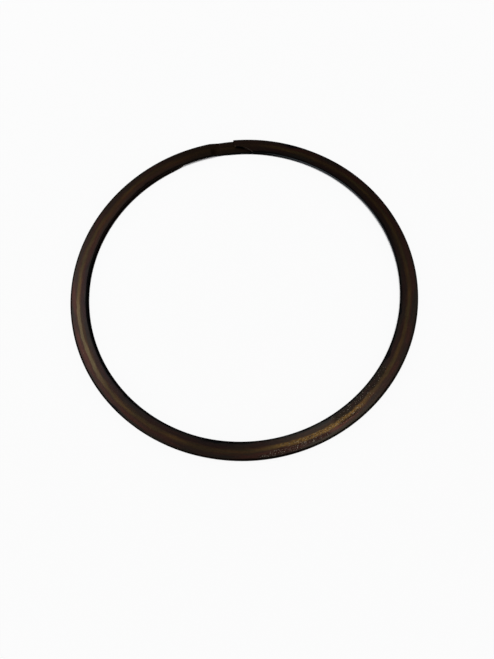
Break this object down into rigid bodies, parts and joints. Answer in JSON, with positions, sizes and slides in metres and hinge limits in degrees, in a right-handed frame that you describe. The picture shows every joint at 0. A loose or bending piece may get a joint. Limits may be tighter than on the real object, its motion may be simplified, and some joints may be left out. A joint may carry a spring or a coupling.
{
  "type": "external retaining ring",
  "caption": "Spiral external retaining ring of flat spring-steel wire coiled on edge, with an offset crimp and removal notches at its tips, to snap into a groove in a shaft.",
  "frame": {"origin": "on the axis of the shaft, midway between the two faces of the ring", "axes": "+Z along the shaft, out of the face where the upper tip lies; +Y towards the crimp, which lies 3.8 degrees past it, counter-clockwise seen from +Z; +X to the right of it"},
  "size_m": [0.1066, 0.1066, 0.0014],
  "materials": {
    "spring_steel": "heat-tinted spring steel with a thin film of oil: olive-gold in the middle of the wire, copper and violet to its sides, dark rolled edges and patches of fine oil droplets"
  },
  "bodies": {
    "root": {"retaining_ring": "spring_steel"}
  },
  "joints": []
}
